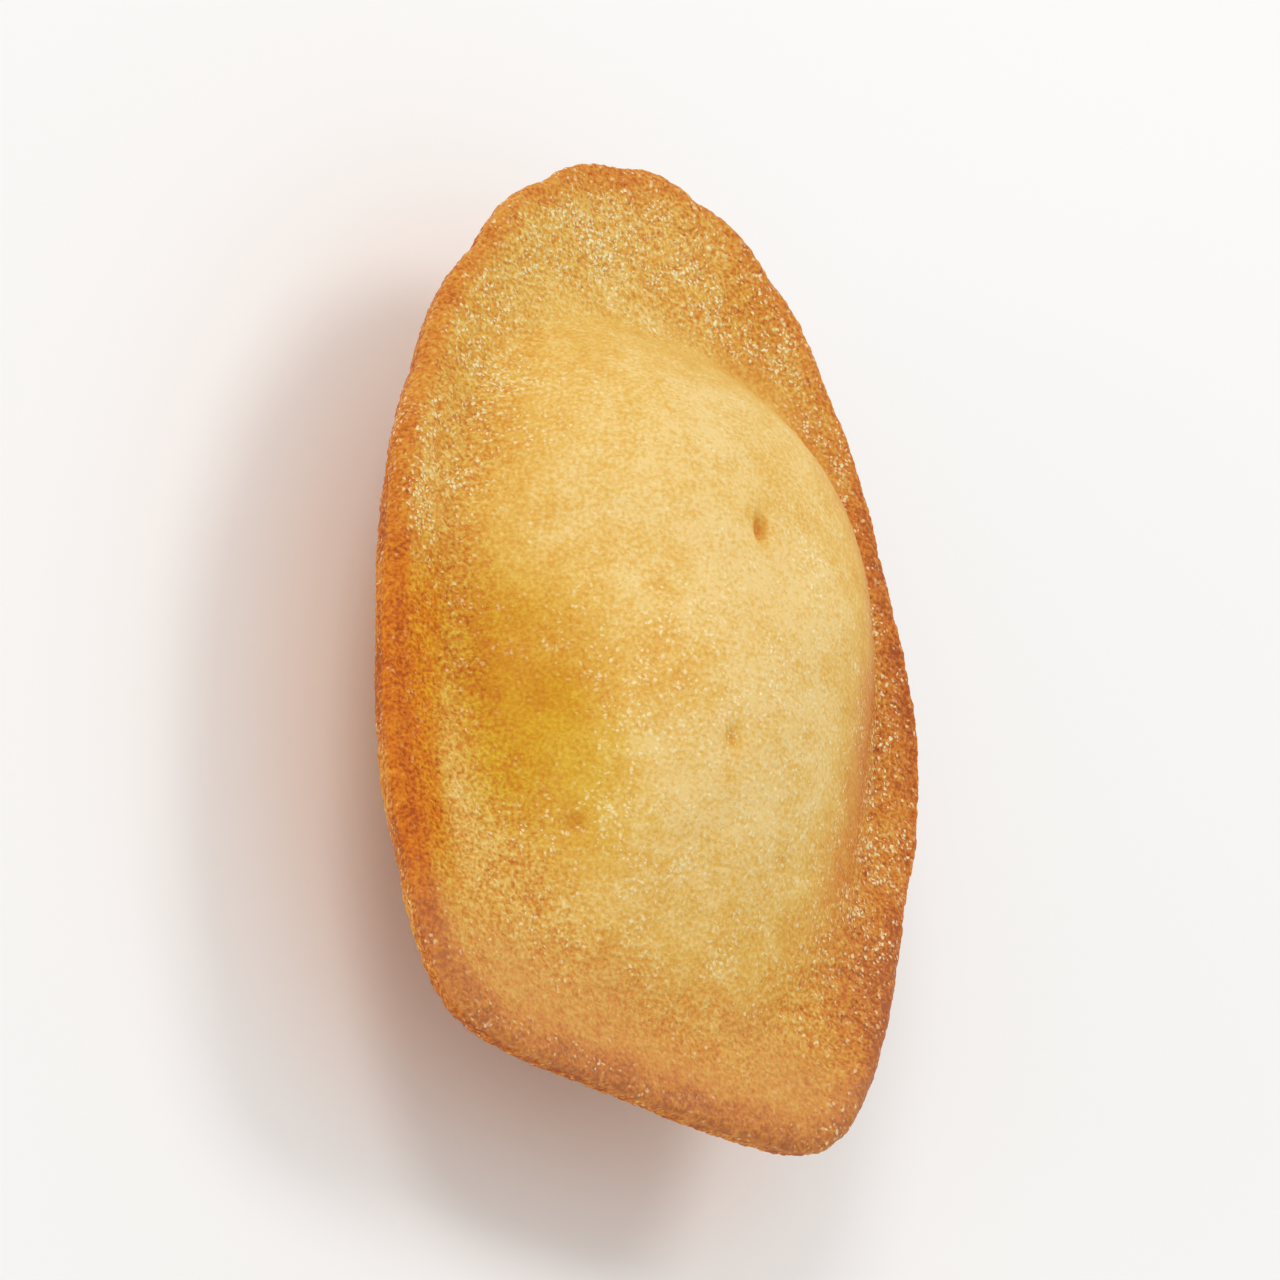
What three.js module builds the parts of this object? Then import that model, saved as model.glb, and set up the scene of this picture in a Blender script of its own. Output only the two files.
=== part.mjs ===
// A madeleine: one shell-shaped sponge cake, lying on its ribbed shell side with the domed side up.
// Millimetres. +Y runs from the blunt hinge end to the wide fan end, +X across, +Z up.
// The shape is a closed skin of two sheets, the dome side and the shell side, which meet at the rim.
import * as THREE from "three";

// Outline seen from above, measured from the middle of the widest station
const WIDTH = 46.8;
const HALF_WIDTH = WIDTH / 2;
const FAN_REACH = 42.75; // from the widest station to the tip of the fan
const HINGE_REACH = 33.25; // from the widest station to the hinge end
const FLANK_REACH = 53.5; // where the flanks would meet if they ran on past the hinge end
const FLANK_POWER = 2.66; // how late the flanks turn in
const CORNER_POWER = 16; // sharpness of the two corners of the hinge end
const FAN_LEAN = 0.35; // how far the fan's tip leans to the right
const SWELL = 1.95; // how far the right flank swells out, just behind the widest station
const SWELL_ANGLE = 1.54;
const SWELL_SPREAD = 0.48;

// Scallops where the ribs run out at the rim of the fan
const SCALLOP_DEPTH = 0.45;
const SCALLOP_LEVEL = 0.7; // rib height that leaves the outline where it is
const SCALLOP_START = 2;
const SCALLOP_FULL = 29;

// Shell side
const SHELL_DEPTH = 13.7; // from the rim down to the lowest rib
const EDGE_DEPTH = 1.1; // how far the rounded rim reaches down before the bowl begins
const FLANK_WALL_POWER = 2.15; // how late the bowl turns up to the rim, under the flanks
const FAN_WALL_POWER = 2.6;
const HINGE_WALL_POWER = 2.8;
const FAN_WALL_START = 0.3; // cosines of the angle from the fan's tip
const HINGE_WALL_START = 0.75; // and from the hinge end
const REST_CUT = 0.8; // height of the crests that the cake has pressed flat under itself

// Ribs, which fan out from the hinge end and are widest at the fan's rim
const RIB_PITCH = 5.3; // at the widest station
const RIB_DEPTH = 0.85;
const RIB_POWER = 0.5; // below 1: round crests with narrow grooves
const RIB_SPREAD = 0.32; // share by which the pitch grows up to the fan's tip
const RIB_GATHER = 0.4; // share of the pitch that is left at the hinge end
const RIB_RIM_FADE = 0.12; // share of the way in from the rim over which the ribs rise
const RIB_HINGE_START = -33;
const RIB_HINGE_FULL = -23;

// Dome side: a rounded rim, a low lip, a flat brim and the hump
const RIM_ROUND = 0.9;
const EDGE_HEIGHT = 0.8;
const LIP_HEIGHT = 0.25;
const LIP_INSET = 1.8;
const LIP_WIDTH = 1.7;
const BRIM_DROP = 0.15;
const HUMP_HEIGHT = 9.7;
const HUMP_CENTRE_X = 1.8;
const HUMP_CENTRE_Y = 4.4;
const HUMP_RIGHT = 19.4;
const HUMP_LEFT = 20.6;
const HUMP_FAN = 25;
const HUMP_HINGE = 32.5;
const HUMP_ROUNDNESS = 2.3;
const HUMP_STEEP_SIDE = 0.45; // radians from +Y towards +X: where the hump is steepest
const HUMP_STEEP_START = -0.75; // cosines of the angle from that side
const HUMP_STEEP_FULL = 0.95;
const HUMP_GENTLE = { rise: 2.3, ease: 1.75 };
const HUMP_STEEP = { rise: 3.6, ease: 1.35 };

// Baked unevenness
const RIM_WAVE = 0.25;
const CRUST_WAVE = 0.3;

// Grid of the two sheets, drawn in towards the rim
const COLUMNS = 56;
const ROWS = 52;
const RING_GATHER = 1.3;
const FAN_CORNER_Y = 29.6; // where the grid's corners meet the rim
const HINGE_CORNER_Y = -32.6;

const { smoothstep, lerp, clamp } = THREE.MathUtils;

// Half the outline's width at a station, before the hinge end cuts it off.
function halfWidthAt(y) {
  if (y > 0) return HALF_WIDTH * Math.sqrt(1 - (y / FAN_REACH) ** 2);
  return HALF_WIDTH * (1 - (-y / FLANK_REACH) ** FLANK_POWER);
}

// Distance from the middle to the flank in the direction (across, back), found by halving.
function flankRadius(across, back) {
  let inside = 0;
  let outside = FLANK_REACH * 1.1;
  for (let step = 0; step < 40; step += 1) {
    const middle = (inside + outside) / 2;
    const share = (middle * across) / HALF_WIDTH + ((middle * back) / FLANK_REACH) ** FLANK_POWER;
    if (share > 1) outside = middle;
    else inside = middle;
  }
  return inside;
}

// Distance from the middle to the plain outline, at an angle from +Y towards +X.
function outlineRadius(angle) {
  const across = Math.abs(Math.sin(angle));
  const along = Math.cos(angle);
  if (along >= 0) return 1 / Math.hypot(across / HALF_WIDTH, along / FAN_REACH);
  const flank = flankRadius(across, -along);
  const end = HINGE_REACH / -along;
  return (flank ** -CORNER_POWER + end ** -CORNER_POWER) ** (-1 / CORNER_POWER);
}

function ribPitch(y) {
  if (y > 0) return RIB_PITCH * (1 + (RIB_SPREAD * y) / FAN_REACH);
  const share = clamp(1 + y / HINGE_REACH, 0, 1);
  return RIB_PITCH * lerp(RIB_GATHER, 1, Math.sin((share * Math.PI) / 2));
}

// Height of the ribs: 1 on a crest and 0 in a groove. A crest runs along the middle.
function ribHeight(x, y) {
  return (Math.cos((Math.PI * x) / ribPitch(y)) ** 2) ** RIB_POWER;
}

function rimRadius(angle) {
  const radius = outlineRadius(angle);
  const x = radius * Math.sin(angle);
  const y = radius * Math.cos(angle);
  const strength = SCALLOP_DEPTH * smoothstep(y, SCALLOP_START, SCALLOP_FULL);
  const swell = SWELL * Math.exp(-(((angle - SWELL_ANGLE) / SWELL_SPREAD) ** 2));
  return radius + swell + strength * (ribHeight(x, y) - SCALLOP_LEVEL);
}

function rimWave(angle) {
  return RIM_WAVE * (Math.sin(2 * angle + 0.6) + 0.6 * Math.sin(5 * angle + 2));
}

function crustWave(x, y) {
  const broad = Math.sin(x / 6.1 + 0.4) * Math.sin(y / 7.3 + 1.1);
  return CRUST_WAVE * (broad + Math.sin((x + y) / 9.7 + 2));
}

// Height of the hump above the brim.
function humpHeight(x, y) {
  const across = x - HUMP_CENTRE_X;
  const along = y - HUMP_CENTRE_Y;
  const sideReach = across > 0 ? HUMP_RIGHT : HUMP_LEFT;
  const endReach = along > 0 ? HUMP_FAN : HUMP_HINGE;
  const acrossShare = Math.abs(across / sideReach) ** HUMP_ROUNDNESS;
  const alongShare = Math.abs(along / endReach) ** HUMP_ROUNDNESS;
  const share = Math.min((acrossShare + alongShare) ** (1 / HUMP_ROUNDNESS), 1);
  const facing = Math.cos(Math.atan2(across, along) - HUMP_STEEP_SIDE);
  const steep = smoothstep(facing, HUMP_STEEP_START, HUMP_STEEP_FULL);
  const rise = lerp(HUMP_GENTLE.rise, HUMP_STEEP.rise, steep);
  const ease = lerp(HUMP_GENTLE.ease, HUMP_STEEP.ease, steep);
  return HUMP_HEIGHT * (1 - share ** rise) ** ease;
}

// The quarter round of the rim: 0 on the rim and 1 from where the round ends.
function rimTurn(inset) {
  return Math.sqrt(1 - (1 - Math.min(inset / RIM_ROUND, 1)) ** 2);
}

// Height of the dome side above the rim. The share is 0 in the middle and 1 at the rim.
function domeHeight(x, y, share, radius) {
  const inset = (1 - share) * radius;
  const turn = Math.min(inset / RIM_ROUND, 1);
  const lip = LIP_HEIGHT * Math.exp(-(((inset - LIP_INSET) / LIP_WIDTH) ** 2));
  return EDGE_HEIGHT * rimTurn(inset) + turn * (lip - BRIM_DROP + crustWave(x, y)) + humpHeight(x, y);
}

// Depth of the shell side below the rim.
function shellDepth(x, y, share, radius, angle) {
  const towardsFan = smoothstep(Math.cos(angle), FAN_WALL_START, 1);
  const towardsHinge = smoothstep(-Math.cos(angle), HINGE_WALL_START, 1);
  const fanPower = lerp(FLANK_WALL_POWER, FAN_WALL_POWER, towardsFan);
  const wallPower = lerp(fanPower, HINGE_WALL_POWER, towardsHinge);
  const edge = EDGE_DEPTH * rimTurn((1 - share) * radius);
  const bowl = edge + (SHELL_DEPTH - EDGE_DEPTH) * (1 - share ** wallPower);
  const rimFade = smoothstep(1 - share, 0, RIB_RIM_FADE);
  const hingeFade = smoothstep(y, RIB_HINGE_START, RIB_HINGE_FULL);
  const groove = RIB_DEPTH * (1 - ribHeight(x, y)) * rimFade * hingeFade;
  return Math.min(bowl - groove, SHELL_DEPTH - REST_CUT);
}

// The angle at which a point on the edge of the grid's square meets the rim.
function rimAngle(a, b) {
  if (b === 1) return a * Math.atan2(halfWidthAt(FAN_CORNER_Y), FAN_CORNER_Y);
  if (b === -1) return Math.atan2(a * halfWidthAt(HINGE_CORNER_Y), HINGE_CORNER_Y);
  const y = lerp(HINGE_CORNER_Y, FAN_CORNER_Y, (b + 1) / 2);
  return Math.atan2(a * halfWidthAt(y), y);
}

// One point of the grid on both sheets. a and b run from -1 to 1 across and along the cake.
function gridPoint(a, b) {
  const ring = Math.max(Math.abs(a), Math.abs(b));
  const angle = ring > 0 ? rimAngle(a / ring, b / ring) : 0;
  const share = 1 - (1 - ring) ** RING_GATHER;
  const radius = rimRadius(angle);
  const x = share * radius * Math.sin(angle);
  const y = share * radius * Math.cos(angle);
  const level = share * rimWave(angle);
  const lean = FAN_LEAN * (Math.max(y, 0) / FAN_REACH) ** 2;
  return {
    onRim: ring === 1,
    dome: [x + lean, y, level + domeHeight(x, y, share, radius)],
    shell: [x + lean, y, level - shellDepth(x, y, share, radius, angle)],
  };
}

// The closed skin: the two sheets share their points on the rim.
function cakeGeometry() {
  const positions = [];
  const domeIndex = [];
  const shellIndex = [];
  const addPoint = (point) => positions.push(...point) / 3 - 1;
  for (let row = 0; row <= ROWS; row += 1) {
    for (let column = 0; column <= COLUMNS; column += 1) {
      const point = gridPoint((2 * column) / COLUMNS - 1, (2 * row) / ROWS - 1);
      const dome = addPoint(point.dome);
      domeIndex.push(dome);
      shellIndex.push(point.onRim ? dome : addPoint(point.shell));
    }
  }
  const faces = [];
  for (let row = 0; row < ROWS; row += 1) {
    for (let column = 0; column < COLUMNS; column += 1) {
      const near = row * (COLUMNS + 1) + column;
      const far = near + COLUMNS + 1;
      const corners = [near, near + 1, far + 1, far];
      const [a, b, c, d] = corners.map((corner) => domeIndex[corner]);
      const [e, f, g, h] = corners.map((corner) => shellIndex[corner]);
      faces.push(a, b, c, a, c, d);
      faces.push(e, g, f, e, h, g);
    }
  }
  const geometry = new THREE.BufferGeometry();
  geometry.setAttribute("position", new THREE.Float32BufferAttribute(positions, 3));
  geometry.setIndex(faces);
  return geometry;
}

// Puts the geometry's origin at the middle of the bottom of its box.
function standOnOrigin(geometry) {
  geometry.computeBoundingBox();
  const { min, max } = geometry.boundingBox;
  geometry.translate(-(min.x + max.x) / 2, -(min.y + max.y) / 2, -min.z);
  geometry.computeVertexNormals();
  return geometry;
}

const sponge = new THREE.MeshStandardMaterial({ color: 0xe0a04a, roughness: 0.7, metalness: 0 });
const madeleine = new THREE.Mesh(standOnOrigin(cakeGeometry()), sponge);
madeleine.name = "madeleine";

const cake = new THREE.Group();
cake.add(madeleine);

export default cake;
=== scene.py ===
import math

import bpy
import numpy as np
from mathutils import Matrix, Vector


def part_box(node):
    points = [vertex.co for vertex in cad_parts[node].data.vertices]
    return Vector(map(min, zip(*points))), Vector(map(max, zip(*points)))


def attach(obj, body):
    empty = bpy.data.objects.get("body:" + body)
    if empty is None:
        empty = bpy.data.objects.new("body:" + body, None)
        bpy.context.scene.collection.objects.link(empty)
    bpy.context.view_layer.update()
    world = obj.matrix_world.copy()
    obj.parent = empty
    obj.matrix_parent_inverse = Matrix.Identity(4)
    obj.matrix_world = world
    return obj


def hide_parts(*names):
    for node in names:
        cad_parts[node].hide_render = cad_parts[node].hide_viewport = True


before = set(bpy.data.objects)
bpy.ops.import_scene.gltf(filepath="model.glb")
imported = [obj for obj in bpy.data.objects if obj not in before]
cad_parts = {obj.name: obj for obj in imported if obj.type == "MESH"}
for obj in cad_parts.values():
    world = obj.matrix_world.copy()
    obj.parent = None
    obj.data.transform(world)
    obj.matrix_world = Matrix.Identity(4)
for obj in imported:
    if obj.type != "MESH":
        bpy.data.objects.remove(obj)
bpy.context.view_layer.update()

# A madeleine on its ribbed shell side, with the domed side up. The form is worked out in millimetres
# from the same named sizes as the solid, with the crumb as fine relief on it, and placed in metres.
# +Y runs from the blunt hinge end to the wide fan end, +X across and +Z up.
MM = 0.001
NODE = "madeleine"

# Outline seen from above, measured from the middle of the widest station
WIDTH = 46.8
HALF_WIDTH = WIDTH / 2
FAN_REACH = 42.75  # from the widest station to the tip of the fan
HINGE_REACH = 33.25  # from the widest station to the hinge end
FLANK_REACH = 53.5  # where the flanks would meet if they ran on past the hinge end
FLANK_POWER = 2.66  # how late the flanks turn in
FLANK_SEARCH_REACH = FLANK_REACH * 1.1  # further out than any point of a flank
HALVINGS = 40  # steps of the search for the flank
CORNER_POWER = 16  # sharpness of the two corners of the hinge end
FAN_LEAN = 0.35  # how far the fan's tip leans to the right
SWELL = 1.95  # how far the right flank swells out, just behind the widest station
SWELL_ANGLE = 1.54
SWELL_SPREAD = 0.48

# Scallops where the ribs run out at the rim of the fan
SCALLOP_DEPTH = 0.45
SCALLOP_LEVEL = 0.7  # rib height that leaves the outline where it is
SCALLOP_START = 2
SCALLOP_FULL = 29

# Shell side
SHELL_DEPTH = 13.7  # from the rim down to the lowest rib
EDGE_DEPTH = 1.1  # how far the rounded rim reaches down before the bowl begins
FLANK_WALL_POWER = 2.15  # how late the bowl turns up to the rim, under the flanks
FAN_WALL_POWER = 2.6
HINGE_WALL_POWER = 2.8
FAN_WALL_START = 0.3  # cosines of the angle from the fan's tip
HINGE_WALL_START = 0.75  # and from the hinge end
REST_CUT = 0.8  # height of the crests that the cake has pressed flat under itself

# Ribs, which fan out from the hinge end and are widest at the fan's rim
RIB_PITCH = 5.3  # at the widest station
RIB_DEPTH = 0.85
RIB_POWER = 0.5  # below 1: round crests with narrow grooves
RIB_SPREAD = 0.32  # share by which the pitch grows up to the fan's tip
RIB_GATHER = 0.4  # share of the pitch that is left at the hinge end
RIB_RIM_FADE = 0.12  # share of the way in from the rim over which the ribs rise
RIB_HINGE_START = -33
RIB_HINGE_FULL = -23

# Dome side: a rounded rim, a low lip, a flat brim and the hump
RIM_ROUND = 0.9
EDGE_HEIGHT = 0.8
LIP_HEIGHT = 0.25
LIP_INSET = 1.8
LIP_WIDTH = 1.7
BRIM_DROP = 0.15
HUMP_HEIGHT = 9.7
HUMP_CENTRE_X = 1.8
HUMP_CENTRE_Y = 4.4
HUMP_RIGHT = 19.4
HUMP_LEFT = 20.6
HUMP_FAN = 25
HUMP_HINGE = 32.5
HUMP_ROUNDNESS = 2.3
HUMP_STEEP_SIDE = 0.45  # radians from +Y towards +X: where the hump is steepest
HUMP_STEEP_START = -0.75  # cosines of the angle from that side
HUMP_STEEP_FULL = 0.95
HUMP_GENTLE = {"rise": 2.3, "ease": 1.75}
HUMP_STEEP = {"rise": 3.6, "ease": 1.35}

# Baked unevenness
RIM_WAVE = 0.25
RIM_WAVES = [(1, 2, 0.6), (0.6, 5, 2)]  # share, waves in a turn, start
CRUST_WAVE = 0.3
WAVE_ACROSS = (6.1, 0.4)  # millimetres to a radian, start
WAVE_ALONG = (7.3, 1.1)
WAVE_SLANTING = (9.7, 2)

# Grid of the two sheets, drawn in towards the rim
COLUMNS = 240
ROWS = 370
RING_GATHER = 1.3
FAN_CORNER_Y = 29.6  # where the grid's corners meet the rim
HINGE_CORNER_Y = -32.6
GRID_DIGITS = 12  # rounding that puts the grid's edge at exactly 1
TINY = 1e-12

# The hash that gives each cell of a noise its own repeatable numbers
CELL_FACTORS = (374761393, 668265263, 1440662683)
SEED_FACTOR = 974634777
HASH_STEPS = [(13, 1274126177), (15, 2246822519)]  # shift, factor
LAST_SHIFT = 16
BITS_32 = 0xFFFFFFFF
BITS_24 = 0xFFFFFF

# Noises of the crust: width of their patches or grains in millimetres, seed
GRAINS = (0.9, 21)
FINE_GRAINS = (0.52, 31)
ZONE_PATCHES = (4.0, 11)
TOAST_PATCHES = (2.5, 52)
SHELL_PATCHES = (7.0, 51)
HOLLOW_PATCHES = (3.5, 61)
GLINT_PATCHES = (2.4, 71)
SMOOTH_TOP_PATCHES = (5.0, 72)

# Crumb relief: grains, soft dents and pits
FAR_AWAY = 9.0  # squared distance, in grains, past that of any nearest grain
GRAIN_END = 0.6  # squared distance, in grains, at which a grain has fallen to nothing
GRAIN_SHARE = 0.45
FINE_GRAIN_SHARE = 0.55
CRUMB_MIDDLE = 0.5
GRAIN_RISE = 1.8  # in grain heights, as the next
PORE_SINK = 0.8
GRAIN_HEIGHT = {"rim": 0.1, "brim": 0.14, "hump": 0.04, "hinge": 0.07, "shell": 0.14}
SOFT_DENTS = [(0.10, 5.0, 41), (0.05, 2.2, 42)]  # depth, width, seed

# Spots on the dome side, here and below: amount, x, y, reach across, reach along
PITS = [
    (0.8, 1.8, 8.7, 0.55, 1.15),
    (0.4, 0.6, -8.0, 0.7, 0.95),
    (0.15, -6.0, 2.0, 0.5, 0.6),
    (0.25, -9.0, -16.0, 0.8, 0.8),
    (0.2, 8.0, -14.0, 0.6, 0.9),
]

# Zones of the dome side: how far the rim and the hump reach, over what their edges fade, and how far
# the edges wander. The hump is measured in shares, 0 at its top and 1 at its foot.
RIM_WIDTH = 3.6
THIN_RIM_WIDTH = 2.2
RIM_FADE = (0.17, 1)  # shares of the rim's width
RIM_WANDER = 0.6
HUMP_FOOT = 0.9
HUMP_FOOT_AT_FAN = 1.04
HUMP_FADE = (-0.11, 0.11)
HUMP_WANDER = 0.05
HINGE_FADE = (-21, -30)
HINGE_WANDER = 2.0

# Regions of the crust by their edges: what an edge goes by, where it leaves 0 and where it reaches 1.
# Along and across are places, inset is the distance from the rim, and hump is the hump's shares.
THIN_RIM = [("across", -10, -20), ("along", -6, 4)]
FAN_END = [("along", 14, 26)]
HINGE_SIDE = [("along", -12, -22)]
HINGE_RIM = [("along", -20, -28)]
LOW_HUMP = [("hump", 0.45, 1.0)]
# the right-hand side of the hump, darkened in part as painted shade
SHADED_RIGHT_HUMP = [("across", 7, 18)]
SHELL_EDGE = [("inset", 3, 0)]
# The long rim on the left, which lay against the next cake and is the deepest orange
LEFT_RIM = [
    ("along", -33, -25),
    ("along", 18, -4),
    ("inset", 2, 0.6),
    ("across", -13, -20),
]
# The strip of crust between the left rim and the hollow, deep gold with butter
LEFT_STRIP = [
    ("along", -26, -18),
    ("along", 7, -3),
    ("inset", 0.4, 1.4),
    ("inset", 6, 3.4),
    ("across", -11, -17),
]
# The hollow on the left of the hump, where the crust is darker and full of butter
HOLLOW = [
    ("along", -22, -11),
    ("along", 6, -7),
    ("hump", 0.45, 0.75),
    ("hump", 1.12, 0.88),
    ("across", -2, -10),
]
HOLLOW_UNEVEN = 0.4

# Browning: 0 for pale sponge and 1 for the darkest crust. The same level also carries painted shade
# and painted light, where marked below.
TOAST = {"hump": 0.05, "brim": 0.36, "rim": 0.62, "hinge": 0.48, "shell": 0.76}
TOAST_ON_LEFT = {"rim": 0.09, "strip": 0.13, "hollow": 0.17}
TOAST_AND_PAINTED_SHADE_IN_ZONES = [
    ("hump", LOW_HUMP, 0.22),
    # right-hand side of the hump: browner, and in part painted shade
    ("hump", SHADED_RIGHT_HUMP, 0.22),
    ("rim", HINGE_RIM, 0.14),
    ("shell", SHELL_EDGE, 0.2),
]
TOAST_AND_PAINTED_LIGHT_SPOTS = [
    # right-hand edge, at the hinge end and beside the hump: browner crust, and in part painted shade
    # as of a shadow there
    (0.36, 20, -20, 4, 8),
    (0.30, 20, 6, 6, 20),
    (0.08, 15, -21, 2.5, 3),
    # brim at the fan: its right-hand side, browner and in part painted shade; the hump's foot, paler
    # as painted light against the shade there; and its pale left-hand side, paler as painted light
    (0.14, 8.5, 33.5, 3.5, 5),
    (-0.08, 1.8, 30, 3.5, 2.5),
    (-0.12, -9, 31, 9, 5),
    # left-hand side, from the fan to the hinge end
    (0.04, -16.5, 12, 3, 6),
    (0.10, -17, 1, 3, 5),
    (0.08, -14, -4, 4, 4),
    (-0.10, -17, -11.5, 2, 4),
    (0.11, -19.2, -15, 1.6, 5),
    (-0.08, -15, -16, 2.5, 5),
    # hump
    (0.12, 6, 13, 6, 6),
    (0.08, -9, 2, 5, 5),
    (0.20, -6, -4.5, 5, 4),
    (-0.06, -7, -12.5, 3, 3),
    # hinge end
    (0.12, -1, -32, 8, 2),
]
# painted shade: darker in the pits, for each millimetre of their depth, and in the pores between the
# grains
PAINTED_PIT_SHADE = 0.6  # for each millimetre of depth
PAINTED_PORE_SHADE = 0.14
TOAST_UNEVEN = 0.06
SHELL_UNEVEN = 0.12
CREST_PALE = 0.22  # how much paler the ribs' crests are than the grooves

# Butter in the crust, and one spot of painted shade
EDGE_SOAK = {"rim": 0.9, "strip": 1}
SOAK_AND_SHADE_SPOTS = [
    (0.18, -8, 31, 10, 6),
    # the right-hand side of the fan's brim: butter and, in part, painted shade
    (0.25, 8.5, 33.5, 3.5, 5),
    (0.2, -17, 21, 4, 6),
    (0.15, -16.5, 12, 3, 6),
    (0.4, -17, 1, 3, 6),
    (-0.2, -17, -11.5, 2, 4),
]

# Dull, dry crust
DRY_HINGE = 0.25
DRY_SPOTS = [(0.12, 20, -20, 5, 8)]

# Shining grains: a glossy coat, and a pale painted highlight in the colour. They stand in drifts,
# whose middles are given as x and y.
GLINT = {"rim": 0.4, "hinge": 0.16, "shell": 0.35}
BRIM_GLINT = (0.9, 0.4)  # towards the fan and towards the hinge end
HUMP_GLINT = (0.55, 0.24)  # towards the hinge end and on the smooth top
SMOOTH_TOP = (-4, 9)  # along the hump, from its sparkling part to its smooth one
SMOOTH_TOP_WANDER = 3
DRIFT_GLINT = 0.45
DRIFT_REACH = 2.6
DRIFTS = [
    (-5.6, 33.2), (11.2, 35.3), (-15.4, 20.8), (-11.2, 18.1), (-14.8, 15.0), (6.1, 7.6), (-6.1, -1.3),
    (2.4, -6.0), (-16.4, -6.0), (-10.2, -11.4), (-5.9, -11.8), (-14.6, -16.4), (-5.3, -17.4),
]
SOAK_COVERS = 0.75  # share of the grains that butter covers where the crust is fully soaked
BARE_SPOTS = [(0.8, -18, -13, 3, 7)]
GLINT_UNEVEN = 0.6
GLINT_MOST = 1.2

# Colours as they look on screen. The crust's go by how far it is browned.
CRUST_COLOURS = [
    (0.0, (243, 210, 138)),
    (0.22, (233, 186, 90)),
    (0.46, (223, 156, 60)),
    (0.72, (211, 122, 38)),
    (1.0, (172, 84, 30)),
]
BUTTER_TINT = (243, 241, 118)
EDGE_BUTTER_TINT = (255, 233, 108)
DRY_COLOUR = (210, 158, 108)
# pale colour of the shining grains, a painted highlight
PAINTED_GLINT_COLOUR = (255, 235, 174)
FLOOR_COLOUR = (250, 249, 247)

# Fine structure in the material, in metres
NOISE_MIDDLE = 0.5
PATCHES = (0.0018, 3)  # of this and the next three: width, detail
PORES = (0.0003, 2)
SHINE_DRIFTS = (0.0035, 2)
SWIRLS = (0.0006, 1)
SWIRL_REACH = (0.0005, 0.0005, 0.0005)
SHINE_GRAIN_SIZE = 0.00031
BUMP_DISTANCE = 0.0003
BUMP_FROM_SHINE = 0.2
# What grows with the grit, the coarseness of the crumb: growth, value without grit
PATCH_DEPTH = (0.2, 0.32)
# darker beside each grain: browner pores, and painted shade between the grains
PORE_SHADE_DEPTH = (-1.2, -0.38)
# paleness of the shining grains: a painted highlight
PAINTED_GLINT_SHARE = (0.42, 0.5)
BUMP_STRENGTH = (0.5, 0.33)
# Shining grains, whose reach and edge are shares of their size
DRIFT_RANGE = (0.4, 0.6)  # of the noise, from between the drifts to full in them
DRIFT_LEAST = 0.5  # what is left between the drifts
LUCK_FADE = 0.4  # how far a grain's luck has to be beaten for its full shine
SHINE_REACH = (0.3, 0.32)  # growth by luck, least
SHINE_REACH_BY_PORES = 0.5  # makes their outlines uneven
SHINE_EDGE = 0.18
COAT_WEIGHT = (0.85, 0.05)  # growth by shine, least
SPONGE_SETTINGS = {
    "Roughness": 0.6,
    "Specular IOR Level": 0.15,
    "Coat Roughness": 0.35,
    "Coat IOR": 1.8,
    "Subsurface Weight": 0.3,
    "Subsurface Radius": (1.0, 0.5, 0.2),
    "Subsurface Scale": 0.001,
}

# Floor, in metres
FLOOR_REACH = 1.5
FLOOR_ROUGHNESS = 0.7

# Camera: where it stands as seen from the cake, how far it is rolled, and how much it takes in
CAMERA_AZIMUTH = math.radians(227.1)  # from +Y towards +X
CAMERA_ELEVATION = math.radians(42.15)
CAMERA_ROLL = math.radians(58.4)
CAMERA_DISTANCE = 0.62
CAMERA_LENS = 245
CAMERA_AIM = Vector((0, 0, 0.011))

# Round soft lights. A direction is given along the picture's right and up and towards the camera, and
# a strength is what a white surface that faces the light shows.
LIGHT_DISTANCE = 0.9
LIGHTS = [
    # name, direction, width, strength
    ("key", (0.83, 0.53, 0.05), 0.35, 0.22),
    ("top", (0.10, 0.80, 0.60), 0.35, 0.19),
    ("fill", (-0.70, 0.10, 0.70), 0.4, 0.24),
]
SKY_COLOUR = (1, 1, 1, 1)
SKY_STRENGTH = 0.66


def smoothstep(low, high, value):
    share = np.clip((value - low) / (high - low), 0, 1)
    return share * share * (3 - 2 * share)


def blend(first, second, share):
    return first + (second - first) * share


# ---------------------------------------------------------------- form

def half_width_at(y):
    """Half the outline's width at a station, before the hinge end cuts it off."""
    fan = np.sqrt(np.clip(1 - (y / FAN_REACH) ** 2, 0, 1))
    flank = 1 - (np.maximum(-y, 0) / FLANK_REACH) ** FLANK_POWER
    return HALF_WIDTH * np.where(y > 0, fan, flank)


def flank_radius(across, back):
    """Distance from the middle to the flank in the direction (across, back), found by halving."""
    inside = np.zeros_like(across)
    outside = np.full_like(across, FLANK_SEARCH_REACH)
    for _ in range(HALVINGS):
        middle = (inside + outside) / 2
        share = middle * across / HALF_WIDTH + (middle * back / FLANK_REACH) ** FLANK_POWER
        outside = np.where(share > 1, middle, outside)
        inside = np.where(share > 1, inside, middle)
    return inside


def outline_radius(angle):
    """Distance from the middle to the plain outline, at an angle from +Y towards +X."""
    across = np.abs(np.sin(angle))
    along = np.cos(angle)
    fan = 1 / np.hypot(across / HALF_WIDTH, along / FAN_REACH)
    back = np.maximum(-along, TINY)
    flank = flank_radius(across, back)
    end = HINGE_REACH / back
    hinge = (flank ** -CORNER_POWER + end ** -CORNER_POWER) ** (-1 / CORNER_POWER)
    return np.where(along >= 0, fan, hinge)


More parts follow.
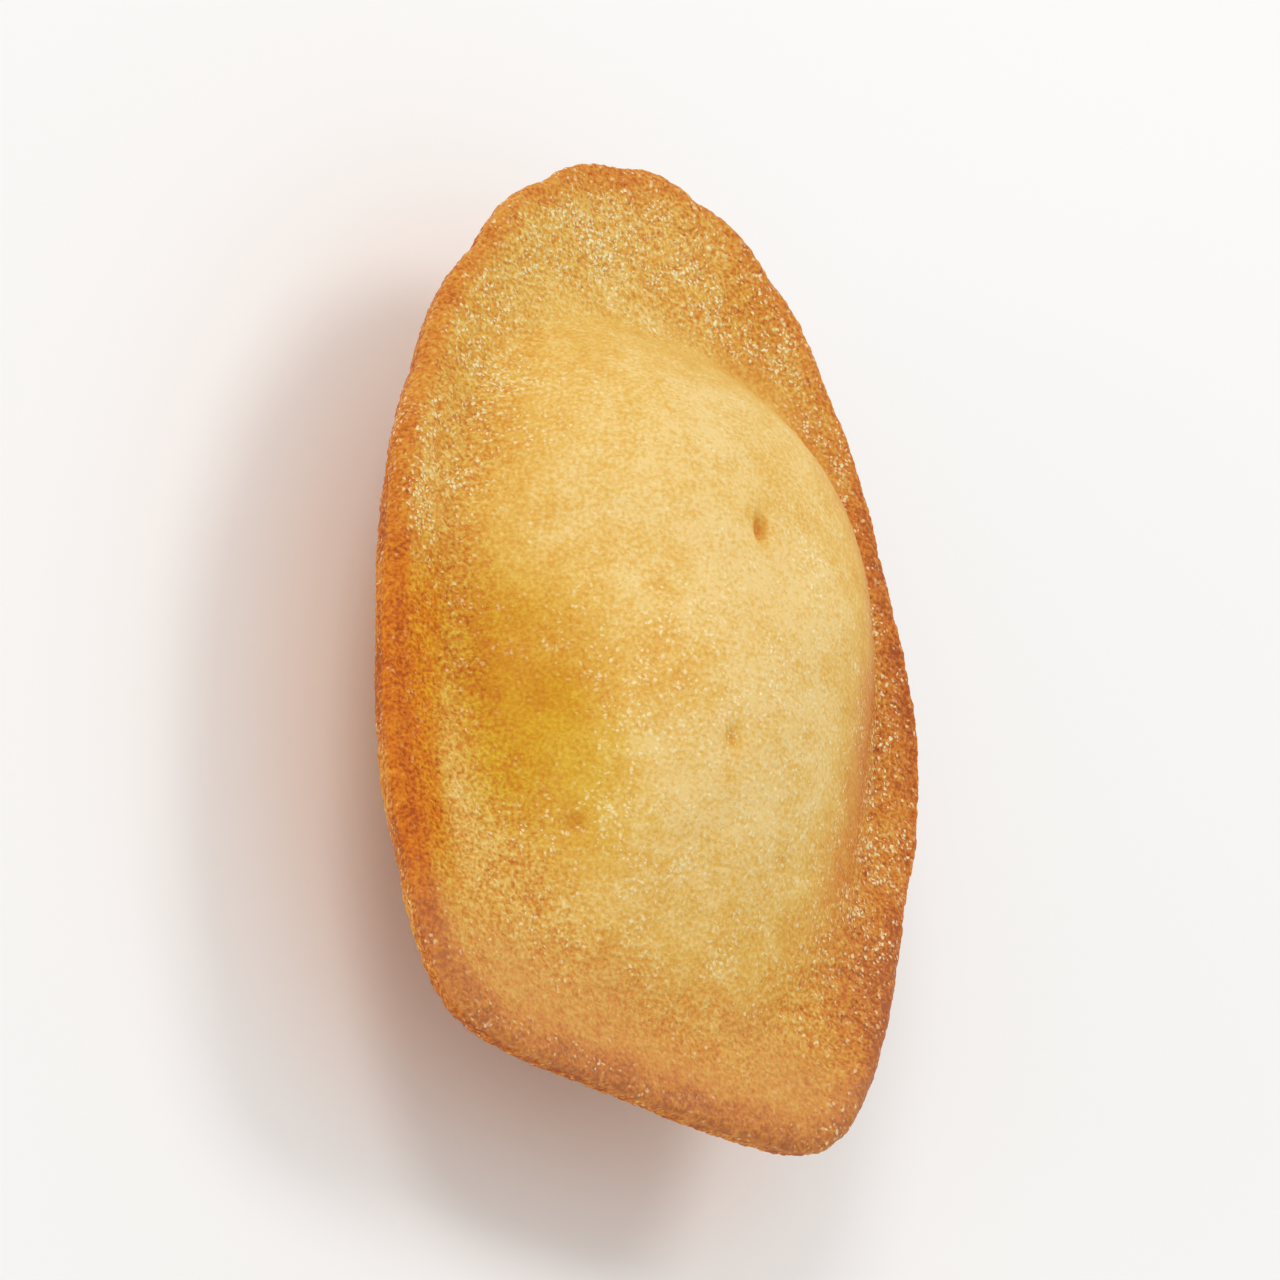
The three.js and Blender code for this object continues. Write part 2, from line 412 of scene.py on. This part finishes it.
def rib_pitch(y):
    gathered = np.sin(np.clip(1 + y / HINGE_REACH, 0, 1) * math.pi / 2)
    near_hinge = blend(RIB_GATHER, 1, gathered)
    near_fan = 1 + RIB_SPREAD * y / FAN_REACH
    return RIB_PITCH * np.where(y > 0, near_fan, near_hinge)


def rib_height(x, y):
    """1 on a crest and 0 in a groove. A crest runs along the middle."""
    return (np.cos(math.pi * x / rib_pitch(y)) ** 2) ** RIB_POWER


def rim_radius(angle):
    """Distance from the middle to the rim, with its swell and its scallops."""
    radius = outline_radius(angle)
    x = radius * np.sin(angle)
    y = radius * np.cos(angle)
    strength = SCALLOP_DEPTH * smoothstep(SCALLOP_START, SCALLOP_FULL, y)
    swell = SWELL * np.exp(-((angle - SWELL_ANGLE) / SWELL_SPREAD) ** 2)
    return radius + swell + strength * (rib_height(x, y) - SCALLOP_LEVEL)


def rim_wave(angle):
    return RIM_WAVE * sum(share * np.sin(count * angle + start) for share, count, start in RIM_WAVES)


def wave(place, radian_length, start):
    return np.sin(place / radian_length + start)


def crust_wave(x, y):
    broad = wave(x, *WAVE_ACROSS) * wave(y, *WAVE_ALONG)
    return CRUST_WAVE * (broad + wave(x + y, *WAVE_SLANTING))


def hump_share(x, y):
    """0 at the top of the hump and 1 at its foot."""
    across = x - HUMP_CENTRE_X
    along = y - HUMP_CENTRE_Y
    across_share = np.abs(across / np.where(across > 0, HUMP_RIGHT, HUMP_LEFT)) ** HUMP_ROUNDNESS
    along_share = np.abs(along / np.where(along > 0, HUMP_FAN, HUMP_HINGE)) ** HUMP_ROUNDNESS
    return (across_share + along_share) ** (1 / HUMP_ROUNDNESS)


def hump_height(x, y):
    """Height of the hump above the brim."""
    facing = np.cos(np.arctan2(x - HUMP_CENTRE_X, y - HUMP_CENTRE_Y) - HUMP_STEEP_SIDE)
    steep = smoothstep(HUMP_STEEP_START, HUMP_STEEP_FULL, facing)
    rise = blend(HUMP_GENTLE["rise"], HUMP_STEEP["rise"], steep)
    ease = blend(HUMP_GENTLE["ease"], HUMP_STEEP["ease"], steep)
    return HUMP_HEIGHT * (1 - np.minimum(hump_share(x, y), 1) ** rise) ** ease


def rim_turn(inset):
    """The quarter round of the rim: 0 on the rim and 1 from where the round ends."""
    return np.sqrt(1 - (1 - np.minimum(inset / RIM_ROUND, 1)) ** 2)


def dome_height(x, y, share, radius):
    """Height of the dome side above the rim. The share is 0 in the middle and 1 at the rim."""
    inset = (1 - share) * radius
    turn = np.minimum(inset / RIM_ROUND, 1)
    lip = LIP_HEIGHT * np.exp(-((inset - LIP_INSET) / LIP_WIDTH) ** 2)
    brim = turn * (lip - BRIM_DROP + crust_wave(x, y))
    return EDGE_HEIGHT * rim_turn(inset) + brim + hump_height(x, y)


def shell_depth(x, y, share, radius, angle):
    """Depth of the shell side below the rim."""
    towards_fan = smoothstep(FAN_WALL_START, 1, np.cos(angle))
    towards_hinge = smoothstep(HINGE_WALL_START, 1, -np.cos(angle))
    fan_power = blend(FLANK_WALL_POWER, FAN_WALL_POWER, towards_fan)
    wall_power = blend(fan_power, HINGE_WALL_POWER, towards_hinge)
    edge = EDGE_DEPTH * rim_turn((1 - share) * radius)
    bowl = edge + (SHELL_DEPTH - EDGE_DEPTH) * (1 - share ** wall_power)
    rim_fade = smoothstep(0, RIB_RIM_FADE, 1 - share)
    hinge_fade = smoothstep(RIB_HINGE_START, RIB_HINGE_FULL, y)
    groove = RIB_DEPTH * (1 - rib_height(x, y)) * rim_fade * hinge_fade
    return np.minimum(bowl - groove, SHELL_DEPTH - REST_CUT)


def rim_angle(a, b):
    """The angle at which a point on the edge of the grid's square meets the rim."""
    fan = a * math.atan2(half_width_at(FAN_CORNER_Y), FAN_CORNER_Y)
    hinge = np.arctan2(a * half_width_at(HINGE_CORNER_Y), HINGE_CORNER_Y)
    y = blend(HINGE_CORNER_Y, FAN_CORNER_Y, (b + 1) / 2)
    flank = np.arctan2(a * half_width_at(y), y)
    return np.where(b >= 1, fan, np.where(b <= -1, hinge, flank))


def cake_surface():
    """The points of the two sheets, the facts that relief and colour go by, and for each point of the
    grid the number of its point on the shell side. The sheets share their points on the rim."""
    a, b = np.meshgrid(np.linspace(-1, 1, COLUMNS + 1), np.linspace(-1, 1, ROWS + 1))
    a = a.ravel()
    b = b.ravel()
    ring = np.maximum(np.abs(a), np.abs(b))
    safe = np.maximum(ring, TINY)
    angle = rim_angle(np.round(a / safe, GRID_DIGITS), np.round(b / safe, GRID_DIGITS))
    share = 1 - (1 - ring) ** RING_GATHER
    radius = rim_radius(angle)
    x = share * radius * np.sin(angle)
    y = share * radius * np.cos(angle)
    level = share * rim_wave(angle)
    lean = FAN_LEAN * (np.maximum(y, 0) / FAN_REACH) ** 2
    dome = np.column_stack([x + lean, y, level + dome_height(x, y, share, radius)])
    shell = np.column_stack([x + lean, y, level - shell_depth(x, y, share, radius, angle)])
    inside = ring < 1
    facts = {
        "across": x,
        "along": y,
        "inset": (1 - share) * radius,
        "hump": hump_share(x, y),
        "crest": rib_height(x, y),
    }
    points = np.vstack([dome, shell[inside]])
    facts = {name: np.concatenate([value, value[inside]]) for name, value in facts.items()}
    facts["dome"] = np.concatenate([np.ones(len(dome)), np.zeros(inside.sum())])
    shell_index = np.arange(len(dome))
    shell_index[inside] = len(dome) + np.arange(inside.sum())
    return points, facts, shell_index


def cake_faces(shell_index):
    corner = np.arange((ROWS + 1) * (COLUMNS + 1)).reshape(ROWS + 1, COLUMNS + 1)
    near_left = corner[:-1, :-1].ravel()
    near_right = corner[:-1, 1:].ravel()
    far_right = corner[1:, 1:].ravel()
    far_left = corner[1:, :-1].ravel()
    dome = np.column_stack([near_left, near_right, far_right, far_left])
    shell = shell_index[np.column_stack([near_left, far_left, far_right, near_right])]
    return np.vstack([dome, shell])


def point_normals(points, faces):
    diagonal_1 = points[faces[:, 2]] - points[faces[:, 0]]
    diagonal_2 = points[faces[:, 3]] - points[faces[:, 1]]
    face_normals = np.cross(diagonal_1, diagonal_2)
    normals = np.zeros_like(points)
    for corner in range(4):
        for axis in range(3):
            normals[:, axis] += np.bincount(faces[:, corner], face_normals[:, axis], len(points))
    return normals / np.maximum(np.linalg.norm(normals, axis=1), TINY)[:, None]


# ---------------------------------------------------------------- noise, regions and zones

def lattice_random(cells, seed):
    """A repeatable random number from 0 to 1 for each whole-numbered cell."""
    mixed = sum(cells[:, axis] * CELL_FACTORS[axis] for axis in range(3)) + seed * SEED_FACTOR
    mixed = mixed & BITS_32
    for shift, factor in HASH_STEPS:
        mixed = ((mixed ^ (mixed >> shift)) * factor) & BITS_32
    return ((mixed ^ (mixed >> LAST_SHIFT)) & BITS_24) / BITS_24


def soft_noise(points, size, seed):
    """Smooth noise from -1 to 1 with bumps about as wide as size."""
    scaled = points / size
    cells = np.floor(scaled).astype(np.int64)
    inside = scaled - cells
    inside = inside * inside * (3 - 2 * inside)
    total = np.zeros(len(points))
    for corner in np.ndindex(2, 2, 2):
        weight = np.prod(np.where(corner, inside, 1 - inside), axis=1)
        total += weight * lattice_random(cells + np.array(corner), seed)
    return 2 * total - 1


def grain_noise(points, size, seed):
    """Round grains about as wide as size: 1 on the middle of a grain, falling to 0 between grains."""
    scaled = points / size
    cells = np.floor(scaled).astype(np.int64)
    nearest = np.full(len(points), FAR_AWAY)
    for offset in np.ndindex(3, 3, 3):
        cell = cells + np.array(offset) - 1
        jitter = np.column_stack([lattice_random(cell, seed + axis) for axis in range(3)])
        nearest = np.minimum(nearest, np.sum((cell + jitter - scaled) ** 2, axis=1))
    return np.clip(1 - nearest / GRAIN_END, 0, 1)


def region(facts, edges):
    """1 inside a region of the crust and 0 outside it, fading over its edges."""
    return math.prod(smoothstep(outside, inside, facts[name]) for name, outside, inside in edges)


def spots(facts, table):
    """The sum of spots on the dome side, each its full amount in its middle and fading out around."""
    total = np.zeros_like(facts["dome"])
    for amount, x, y, reach_across, reach_along in table:
        apart = ((facts["across"] - x) / reach_across) ** 2 + ((facts["along"] - y) / reach_along) ** 2
        total += amount * np.exp(-apart)
    return facts["dome"] * total


def weighted(levels, amounts):
    """The sum of the levels that amounts names, each times its amount."""
    return sum(levels[name] * amount for name, amount in amounts.items())


def zone_weights(points, facts):
    """How far each point belongs to the rim, the brim, the hump, the hinge end and the shell."""
    wander = soft_noise(points, *ZONE_PATCHES)
    rim_width = blend(RIM_WIDTH, THIN_RIM_WIDTH, region(facts, THIN_RIM))
    rim = 1 - smoothstep(*RIM_FADE, (facts["inset"] + RIM_WANDER * wander) / rim_width)
    foot = blend(HUMP_FOOT, HUMP_FOOT_AT_FAN, region(facts, FAN_END))
    hump = 1 - smoothstep(*HUMP_FADE, facts["hump"] + HUMP_WANDER * wander - foot)
    hinge = smoothstep(*HINGE_FADE, facts["along"] + HINGE_WANDER * wander)
    dome = facts["dome"]
    return {
        "shell": 1 - dome,
        "rim": dome * rim,
        "hinge": dome * (1 - rim) * hinge,
        "hump": dome * (1 - rim) * (1 - hinge) * hump,
        "brim": dome * (1 - rim) * (1 - hinge) * (1 - hump),
    }


# ---------------------------------------------------------------- crumb relief

def add_relief(points, normals, facts, zones):
    """Moves the points in and out along the normals: grains, fine grains, soft dents and pits."""
    crumb = GRAIN_SHARE * grain_noise(points, *GRAINS)
    crumb += FINE_GRAIN_SHARE * grain_noise(points, *FINE_GRAINS)
    lift = weighted(zones, GRAIN_HEIGHT) * (GRAIN_RISE * crumb - PORE_SINK)
    for depth, size, seed in SOFT_DENTS:
        lift += depth * soft_noise(points, size, seed)
    lift -= spots(facts, PITS)
    return points + normals * lift[:, None], crumb


# ---------------------------------------------------------------- colour facts

def left_side(points, facts):
    """The buttery places on the left: the long rim, the strip beside it and the hollow."""
    uneven = 1 + HOLLOW_UNEVEN * soft_noise(points, *HOLLOW_PATCHES)
    return {
        "rim": facts["dome"] * region(facts, LEFT_RIM),
        "strip": facts["dome"] * region(facts, LEFT_STRIP),
        "hollow": facts["dome"] * region(facts, HOLLOW) * uneven,
    }


def toast_and_painted_light_level(points, facts, zones, left, crumb):
    """How browned each point is, with painted shade in the pits, between the grains, on the right of
    the hump and along the right-hand edge, and painted light on parts of the fan's brim.
    """
    level = weighted(zones, TOAST) + weighted(left, TOAST_ON_LEFT) + spots(facts, TOAST_AND_PAINTED_LIGHT_SPOTS)
    for zone, edges, amount in TOAST_AND_PAINTED_SHADE_IN_ZONES:
        level += amount * zones[zone] * region(facts, edges)
    # painted shade in the pits and in the pores between the grains
    level += PAINTED_PIT_SHADE * spots(facts, PITS)
    level += TOAST_UNEVEN * soft_noise(points, *TOAST_PATCHES)
    level += PAINTED_PORE_SHADE * (1 - zones["hump"]) * (CRUMB_MIDDLE - crumb)
    uneven = SHELL_UNEVEN * soft_noise(points, *SHELL_PATCHES)
    level += zones["shell"] * (uneven - CREST_PALE * facts["crest"])
    return np.clip(level, 0, 1)


def edge_soak_level(left):
    """How far the left rim and the crust along it are soaked with butter."""
    return np.clip(weighted(left, EDGE_SOAK), 0, 1)


def soak_and_shade_level(facts, left):
    """How far the crust is soaked with butter, which deepens its colour. One spot on the right of the
    fan's brim is deepened in part as painted shade.
    """
    return np.clip(left["hollow"] + edge_soak_level(left) + spots(facts, SOAK_AND_SHADE_SPOTS), 0, 1)


def dry_level(facts, zones):
    """How dull the crust is: the hinge end is dry, and most of all at its right-hand edge."""
    hinge_end = zones["hinge"] + zones["rim"] * region(facts, HINGE_RIM)
    return np.clip(DRY_HINGE * hinge_end + spots(facts, DRY_SPOTS), 0, 1)


def glint_level(points, facts, zones, soak_and_shade):
    """How thickly the crust is set with shining grains."""
    top_wander = SMOOTH_TOP_WANDER * soft_noise(points, *SMOOTH_TOP_PATCHES)
    smooth_top = smoothstep(*SMOOTH_TOP, facts["along"] + top_wander)
    level = weighted(zones, GLINT) + blend(*BRIM_GLINT, region(facts, HINGE_SIDE)) * zones["brim"]
    level += blend(*HUMP_GLINT, smooth_top) * zones["hump"]
    level += spots(facts, [(DRIFT_GLINT, x, y, DRIFT_REACH, DRIFT_REACH) for x, y in DRIFTS])
    level *= (1 - SOAK_COVERS * soak_and_shade) * (1 - spots(facts, BARE_SPOTS))
    level *= 1 + GLINT_UNEVEN * soft_noise(points, *GLINT_PATCHES)
    return np.clip(level, 0, GLINT_MOST)


def colour_facts(points, facts, zones, crumb):
    """What the material goes by, under the names of the mesh's attributes."""
    left = left_side(points, facts)
    soak_and_shade = soak_and_shade_level(facts, left)
    return {
        "toast_and_painted_light": toast_and_painted_light_level(points, facts, zones, left, crumb),
        "soak_and_shade": soak_and_shade,
        "edge_soak": edge_soak_level(left),
        "dry": dry_level(facts, zones),
        "grit": weighted(zones, GRAIN_HEIGHT) / max(GRAIN_HEIGHT.values()),
        "glint": glint_level(points, facts, zones, soak_and_shade),
    }


# ---------------------------------------------------------------- cake

def stand_in_frame(points, plain_points):
    """The points in metres, where the solid's node stands. The middle and the bottom are those of the
    plain form, so the crumb doesn't shift the cake, and no grain reaches below the floor."""
    low = plain_points.min(axis=0)
    middle = (low + plain_points.max(axis=0)) / 2
    placed = points - np.array([middle[0], middle[1], low[2]])
    placed[:, 2] = np.maximum(placed[:, 2], 0)
    low_corner, high_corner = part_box(NODE)
    centre = (Vector(low_corner) + Vector(high_corner)) / 2
    return placed * MM + np.array([centre.x, centre.y, low_corner[2]])


def make_cake():
    plain_points, facts, shell_index = cake_surface()
    faces = cake_faces(shell_index)
    zones = zone_weights(plain_points, facts)
    points, crumb = add_relief(plain_points, point_normals(plain_points, faces), facts, zones)
    mesh = bpy.data.meshes.new("cake_crumb")
    mesh.from_pydata(stand_in_frame(points, plain_points).tolist(), [], faces.tolist())
    for name, values in colour_facts(plain_points, facts, zones, crumb).items():
        layer = mesh.attributes.new(name, "FLOAT", "POINT")
        layer.data.foreach_set("value", values.astype(np.float32))
    mesh.shade_smooth()
    cake = bpy.data.objects.new("cake_crumb", mesh)
    bpy.context.collection.objects.link(cake)
    return cake


# ---------------------------------------------------------------- materials

def srgb(red, green, blue):
    """A colour given as it looks on screen, from 0 to 255, in the linear numbers that Blender takes.
    The formula is that of the sRGB standard."""
    def linear(value):
        value = value / 255
        return value / 12.92 if value <= 0.04045 else ((value + 0.055) / 1.055) ** 2.4
    return (linear(red), linear(green), linear(blue), 1)


def new_material(name):
    material = bpy.data.materials.new(name)
    material.use_nodes = True
    return material, material.node_tree, material.node_tree.nodes["Principled BSDF"]


def feed(tree, socket, value):
    """Links an output to a socket, or sets the socket to a plain value."""
    if isinstance(value, bpy.types.NodeSocket):
        tree.links.new(value, socket)
    else:
        socket.default_value = value


def add_node(tree, kind, inputs, **settings):
    node = tree.nodes.new(kind)
    for name, value in settings.items():
        setattr(node, name, value)
    for name, value in inputs.items():
        feed(tree, node.inputs[name], value)
    return node


def attribute(tree, name):
    return add_node(tree, "ShaderNodeAttribute", {}, attribute_name=name).outputs["Fac"]


def calc(tree, operation, *values):
    return add_node(tree, "ShaderNodeMath", dict(enumerate(values)), operation=operation).outputs[0]


def noise(tree, place, size, detail):
    """The outputs of a noise with patches about as wide as size, in metres."""
    inputs = {"Vector": place, "Scale": 1 / size, "Detail": detail}
    return add_node(tree, "ShaderNodeTexNoise", inputs).outputs


def stretch(tree, value, low, high, least=0):
    """The value from low to high, spread from least to 1 and held there."""
    inputs = {"Value": value, "From Min": low, "From Max": high, "To Min": least}
    return add_node(tree, "ShaderNodeMapRange", inputs, clamp=True).outputs["Result"]


def mix(tree, share, first, second, blend_type="MIX"):
    inputs = {"Factor": share, "A": first, "B": second}
    node = add_node(tree, "ShaderNodeMix", inputs, data_type="RGBA", blend_type=blend_type)
    return node.outputs["Result"]


def toasted_colour_with_painted_light(tree, place, pores, grit):
    """The crust's colour by its browning, which carries painted shade and painted light too. Each
    grain is pale on its top
    and darker beside it: browner pores, and painted shade between the grains.
    """
    patches = calc(tree, "SUBTRACT", noise(tree, place, *PATCHES)["Fac"], NOISE_MIDDLE)
    patch_depth = calc(tree, "MULTIPLY_ADD", grit, *PATCH_DEPTH)
    # painted shade beside each grain, with browner pores
    pore_shade = calc(tree, "MULTIPLY_ADD", grit, *PORE_SHADE_DEPTH)
    level = calc(tree, "MULTIPLY_ADD", patches, patch_depth, attribute(tree, "toast_and_painted_light"))
    level = calc(tree, "MULTIPLY_ADD", pores, pore_shade, level)
    ramp = add_node(tree, "ShaderNodeValToRGB", {"Fac": level})
    elements = ramp.color_ramp.elements
    while len(elements) < len(CRUST_COLOURS):
        elements.new(0.5)
    for element, (share, colour) in zip(elements, CRUST_COLOURS):
        element.position = share
        element.color = srgb(*colour)
    return ramp.outputs["Color"]


def buttered_colour_with_painted_shade(tree, colour):
    """Soaked crust is deeper in colour, and so is one spot of painted shade on the fan's brim; the
    crust is more orange along the left edge, and dry crust is duller.
    """
    tint = mix(tree, attribute(tree, "edge_soak"), srgb(*BUTTER_TINT), srgb(*EDGE_BUTTER_TINT))
    soaked = mix(tree, attribute(tree, "soak_and_shade"), colour, tint, "MULTIPLY")
    return mix(tree, attribute(tree, "dry"), soaked, srgb(*DRY_COLOUR))


def shining_grains(tree, place, pores):
    """Where the shining grains stand, in drifts where the crust is rich in butter and sugar. They get
    a glossy coat, and their pale colour is a painted highlight.
    """
    drifts = stretch(tree, noise(tree, place, *SHINE_DRIFTS)["Fac"], *DRIFT_RANGE, DRIFT_LEAST)
    dense = calc(tree, "MULTIPLY", attribute(tree, "glint"), drifts)
    swirled_inputs = {0: noise(tree, place, *SWIRLS)["Color"], 1: SWIRL_REACH, 2: place}
    swirled = add_node(tree, "ShaderNodeVectorMath", swirled_inputs, operation="MULTIPLY_ADD")
    cell_inputs = {"Vector": swirled.outputs["Vector"], "Scale": 1 / SHINE_GRAIN_SIZE}
    cells = add_node(tree, "ShaderNodeTexVoronoi", cell_inputs).outputs
    luck = add_node(tree, "ShaderNodeSeparateColor", {"Color": cells["Color"]}).outputs
    strength = stretch(tree, calc(tree, "SUBTRACT", dense, luck["Red"]), 0, LUCK_FADE)
    reach = calc(tree, "MULTIPLY_ADD", luck["Green"], *SHINE_REACH)
    reach = calc(tree, "MULTIPLY_ADD", pores, SHINE_REACH_BY_PORES, reach)
    body = stretch(tree, calc(tree, "SUBTRACT", reach, cells["Distance"]), 0, SHINE_EDGE)
    return calc(tree, "MULTIPLY", strength, body)


def sponge_material():
    material, tree, shader = new_material("golden_sponge")
    place = tree.nodes.new("ShaderNodeTexCoord").outputs["Object"]
    crumb = noise(tree, place, *PORES)["Fac"]
    pores = calc(tree, "SUBTRACT", crumb, NOISE_MIDDLE)
    grit = attribute(tree, "grit")
    shine = shining_grains(tree, place, pores)
    colour = buttered_colour_with_painted_shade(tree, toasted_colour_with_painted_light(tree, place, pores, grit))
    # painted highlight: the pale colour of the shining grains, mixed into the base colour below
    painted_glint = calc(tree, "MULTIPLY", shine, calc(tree, "MULTIPLY_ADD", grit, *PAINTED_GLINT_SHARE))
    bump_inputs = {
        "Distance": BUMP_DISTANCE,
        "Strength": calc(tree, "MULTIPLY_ADD", grit, *BUMP_STRENGTH),
        "Height": calc(tree, "MULTIPLY_ADD", shine, BUMP_FROM_SHINE, crumb),
    }
    bump = add_node(tree, "ShaderNodeBump", bump_inputs).outputs["Normal"]
    feed(tree, shader.inputs["Base Color"], mix(tree, painted_glint, colour, srgb(*PAINTED_GLINT_COLOUR)))
    feed(tree, shader.inputs["Normal"], bump)
    feed(tree, shader.inputs["Coat Normal"], bump)
    feed(tree, shader.inputs["Coat Weight"], calc(tree, "MULTIPLY_ADD", shine, *COAT_WEIGHT))
    for name, value in SPONGE_SETTINGS.items():
        shader.inputs[name].default_value = value
    return material


# ---------------------------------------------------------------- stage

def make_floor():
    mesh = bpy.data.meshes.new("floor")
    corners = [(x * FLOOR_REACH, y * FLOOR_REACH, 0) for x, y in [(-1, -1), (1, -1), (1, 1), (-1, 1)]]
    mesh.from_pydata(corners, [], [(0, 1, 2, 3)])
    floor = bpy.data.objects.new("floor", mesh)
    bpy.context.collection.objects.link(floor)
    material, _, shader = new_material("pale_floor")
    shader.inputs["Base Color"].default_value = srgb(*FLOOR_COLOUR)
    shader.inputs["Roughness"].default_value = FLOOR_ROUGHNESS
    mesh.materials.append(material)


def view_axes():
    """The picture's right and up and the way back to the camera, as directions in the scene."""
    back = Vector((
        math.sin(CAMERA_AZIMUTH) * math.cos(CAMERA_ELEVATION),
        math.cos(CAMERA_AZIMUTH) * math.cos(CAMERA_ELEVATION),
        math.sin(CAMERA_ELEVATION),
    ))
    level_right = Vector((0, 0, 1)).cross(back).normalized()
    level_up = back.cross(level_right)
    right = math.cos(CAMERA_ROLL) * level_right + math.sin(CAMERA_ROLL) * level_up
    up = math.cos(CAMERA_ROLL) * level_up - math.sin(CAMERA_ROLL) * level_right
    return right, up, back


def make_camera():
    right, up, back = view_axes()
    camera = bpy.data.objects.new("camera", bpy.data.cameras.new("camera"))
    camera.data.lens = CAMERA_LENS
    place = CAMERA_AIM + back * CAMERA_DISTANCE
    turn = Matrix((right, up, back)).transposed()
    camera.matrix_world = Matrix.Translation(place) @ turn.to_4x4()
    bpy.context.collection.objects.link(camera)
    bpy.context.scene.camera = camera


def make_lights():
    right, up, back = view_axes()
    for name, direction, width, strength in LIGHTS:
        towards = (direction[0] * right + direction[1] * up + direction[2] * back).normalized()
        light = bpy.data.lights.new(name, "AREA")
        light.shape = "DISK"
        light.size = width
        light.energy = strength * (math.pi * LIGHT_DISTANCE) ** 2
        lamp = bpy.data.objects.new(name, light)
        lamp.location = CAMERA_AIM + towards * LIGHT_DISTANCE
        lamp.rotation_euler = towards.to_track_quat("Z", "Y").to_euler()
        bpy.context.collection.objects.link(lamp)


def make_sky():
    world = bpy.data.worlds.new("studio")
    world.use_nodes = True
    sky = world.node_tree.nodes["Background"]
    sky.inputs["Color"].default_value = SKY_COLOUR
    sky.inputs["Strength"].default_value = SKY_STRENGTH
    bpy.context.scene.world = world


bpy.context.scene.view_settings.view_transform = "Standard"
make_camera()
make_lights()
make_sky()
make_floor()
cake = make_cake()
cake.data.materials.append(sponge_material())
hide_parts(NODE)
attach(cake, "root")
